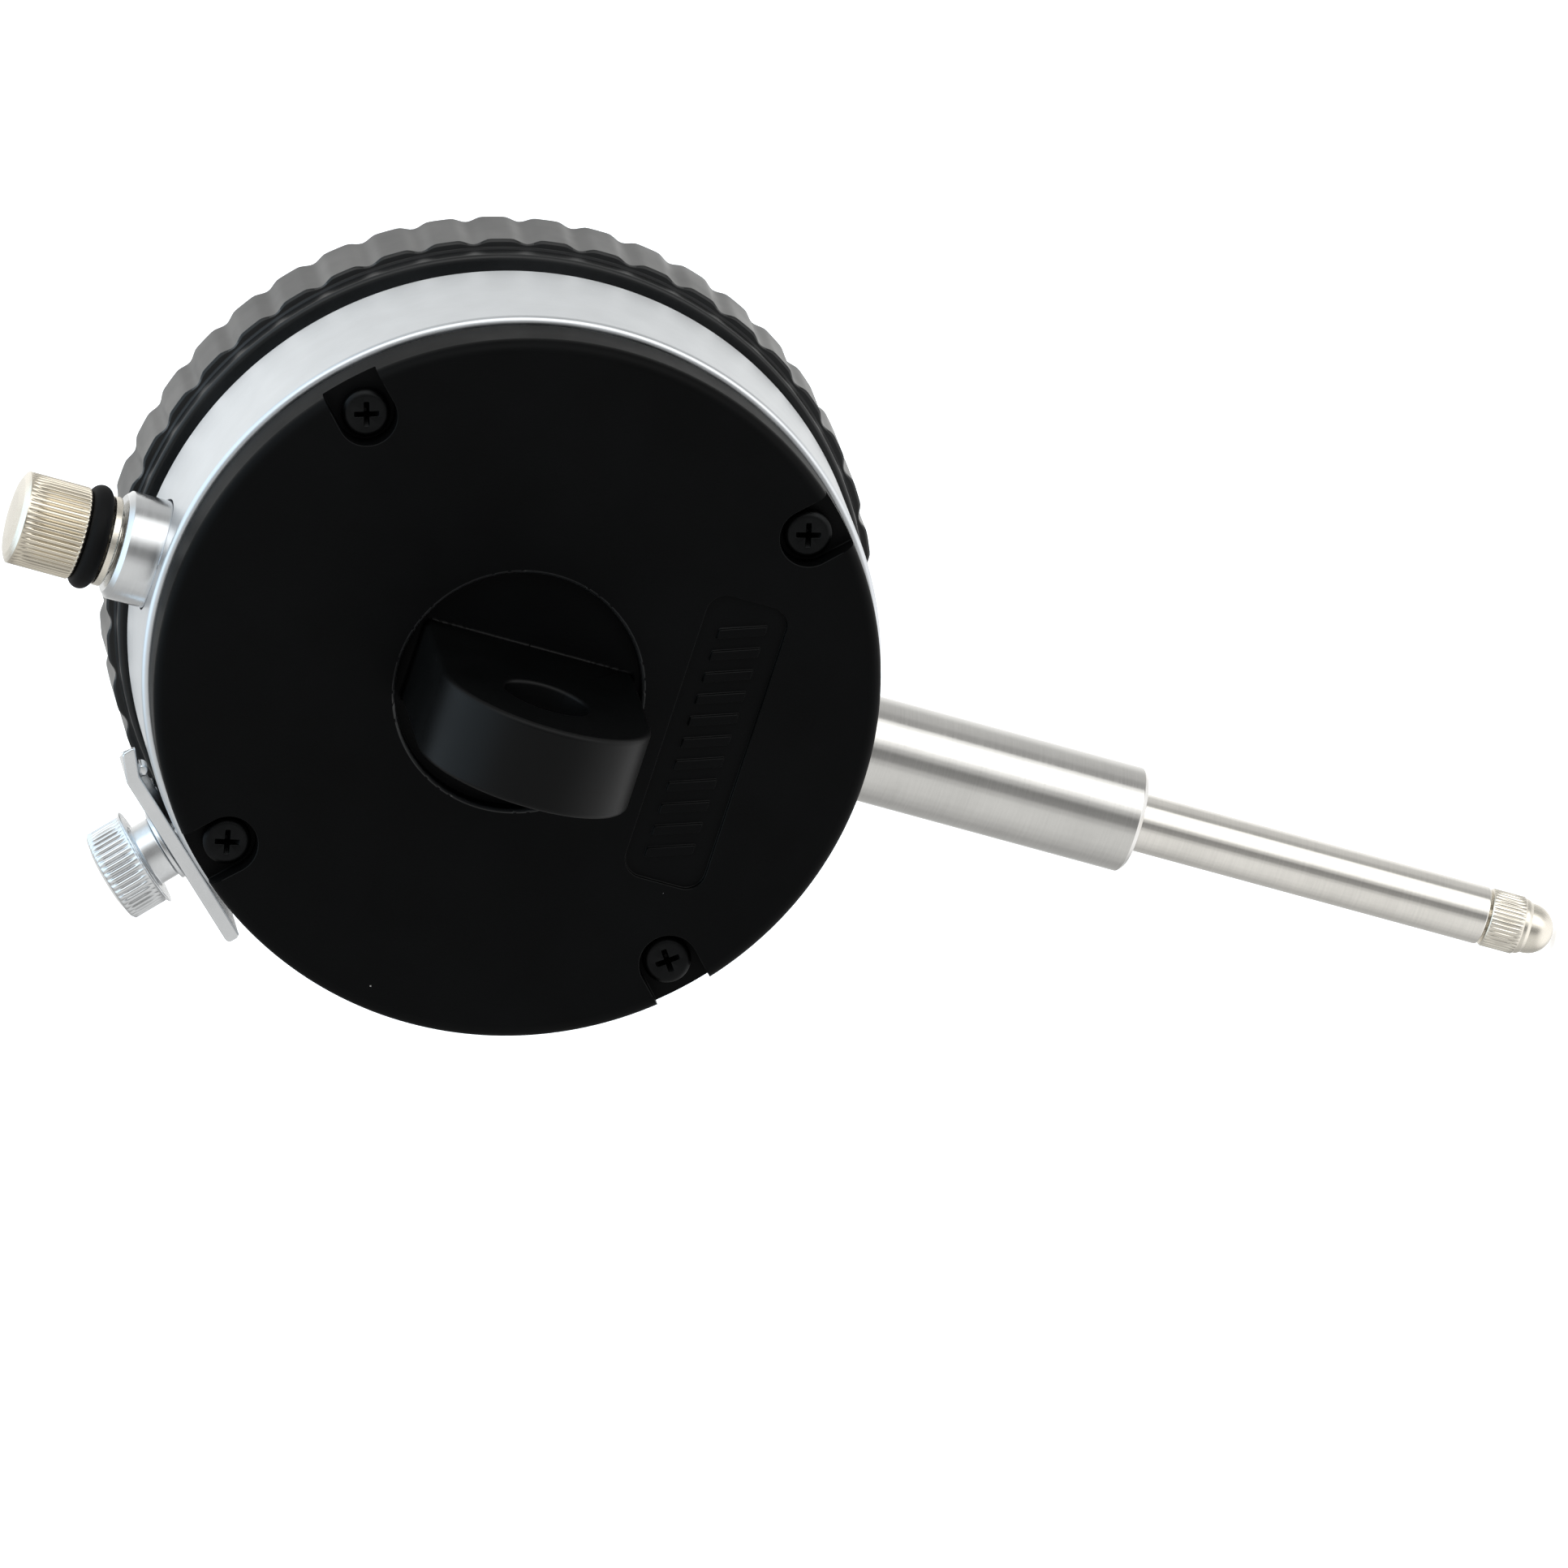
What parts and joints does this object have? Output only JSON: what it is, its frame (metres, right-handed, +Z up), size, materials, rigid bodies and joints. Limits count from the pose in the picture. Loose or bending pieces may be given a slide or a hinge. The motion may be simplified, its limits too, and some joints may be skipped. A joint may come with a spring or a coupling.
{
  "type": "dial indicator",
  "caption": "Plunger dial indicator with a lug back, a plain stem, a fluted rotating bezel and clamp, and a geared movement inside.",
  "frame": {"origin": "where the spindle's axis crosses the dial's axis, inside the case", "axes": "+Z up along the spindle, from the contact point to the lifting cap; -Y out of the dial's face; +Y out of the lug back"},
  "size_m": [0.0574, 0.0459, 0.1211],
  "materials": {
    "case_silver": "satin chrome",
    "black_plastic": "fine matt moulding",
    "black_bezel": "satin moulding",
    "black_screw": "black oxide",
    "polished_steel": "ground and polished",
    "clamp_silver": "bright plate",
    "nickel": "warm nickel plate",
    "rubber": "smooth",
    "brass": "fine turned",
    "bronze": "bored",
    "steel": "turned",
    "blue_steel": "blued spring steel",
    "ruby": "polished stone",
    "dial": "matt white",
    "pointer": "matt black",
    "glass": "clear"
  },
  "bodies": {
    "housing": {"case": "case_silver", "rear_cover": "black_plastic", "cover_screw_1": "black_screw", "cover_screw_2": "black_screw", "cover_screw_3": "black_screw", "cover_screw_4": "black_screw", "stem": "polished_steel", "top_boss": "case_silver", "stem_bush": "bronze", "top_bush": "bronze", "front_plate": "brass", "rear_bridge": "brass", "pillar_1": "steel", "pillar_2": "steel", "pillar_3": "steel", "bridge_screw_1": "steel", "bridge_screw_2": "steel", "bridge_screw_3": "steel", "plate_screw_1": "steel", "plate_screw_2": "steel", "centre_cock": "brass", "centre_bush_front": "ruby", "rack_bush_front": "ruby", "rack_bush_rear": "ruby", "take_up_bush_front": "ruby", "take_up_bush_rear": "ruby", "counter_bush": "ruby", "guide_plate": "steel", "spring_post": "steel", "return_spring": "steel", "hairspring": "blue_steel", "hairspring_stud": "steel", "inner_dial": "dial", "dial_screw_1": "nickel", "dial_screw_2": "nickel", "bezel_wire_ring": "steel"},
    "spindle_group": {"spindle": "polished_steel", "spindle_cap": "nickel", "cap_o_ring": "rubber", "cap_flange": "nickel", "contact_point": "nickel", "contact_ball": "nickel", "guide_pin": "steel"},
    "centre_group": {"centre_arbor": "steel", "main_pointer": "pointer", "pointer_hub": "nickel"},
    "rack_group": {"rack_arbor": "steel", "rack_wheel": "brass"},
    "take_up_group": {"take_up_arbor": "steel", "take_up_wheel": "brass"},
    "counter_group": {"counter_arbor": "steel", "counter_hand": "pointer"},
    "bezel_group": {"bezel": "black_bezel", "lens": "glass", "dial_spacer": "black_plastic", "outer_dial": "dial"},
    "clamp_plate_group": {"clamp_plate": "clamp_silver"},
    "clamp_screw_group": {"clamp_screw": "clamp_silver", "clamp_washer": "clamp_silver"}
  },
  "joints": [
    {"name": "spindle_slide", "type": "slide", "parent": "housing", "child": "spindle_group", "axis": [0, 0, 1], "range_m": [0, 0.025], "stiffness_N_per_m": 20, "springref_m": -0.04, "deforming": ["return_spring"]},
    {"name": "rack_turn", "type": "hinge", "parent": "housing", "child": "rack_group", "pos_m": [-0.00354, 0, -0.01041], "axis": [0, -1, 0], "range_deg": [0, 901]},
    {"name": "centre_turn", "type": "hinge", "parent": "housing", "child": "centre_group", "pos_m": [0, 0, 0], "axis": [0, -1, 0], "range_deg": [-9001, 0]},
    {"name": "take_up_turn", "type": "hinge", "parent": "housing", "child": "take_up_group", "pos_m": [0.00953, 0, 0.0055], "axis": [0, -1, 0], "range_deg": [0, 901]},
    {"name": "counter_turn", "type": "hinge", "parent": "housing", "child": "counter_group", "pos_m": [0, 0, -0.00816], "axis": [0, -1, 0], "range_deg": [-361, 0]},
    {"name": "bezel_turn", "type": "hinge", "parent": "housing", "child": "bezel_group", "pos_m": [0, 0, 0], "axis": [0, -1, 0], "continuous": true},
    {"name": "clamp_lift", "type": "slide", "parent": "housing", "child": "clamp_plate_group", "axis": [0.742, 0, 0.6704], "range_m": [0, 0.0005]},
    {"name": "clamp_turn", "type": "hinge", "parent": "clamp_plate_group", "child": "clamp_screw_group", "pos_m": [0.022, -0.001, 0.01988], "axis": [0.742, 0, 0.6704], "range_deg": [0, 361]}
  ],
  "couplings": [
    {"joint": "rack_turn", "follows": "spindle_slide", "rad_per_m": 628.32},
    {"joint": "centre_turn", "follows": "spindle_slide", "rad_per_m": -6283.2},
    {"joint": "take_up_turn", "follows": "spindle_slide", "rad_per_m": 628.32},
    {"joint": "counter_turn", "follows": "spindle_slide", "rad_per_m": -251.33},
    {"joint": "clamp_turn", "follows": "clamp_lift", "rad_per_m": 12566}
  ]
}
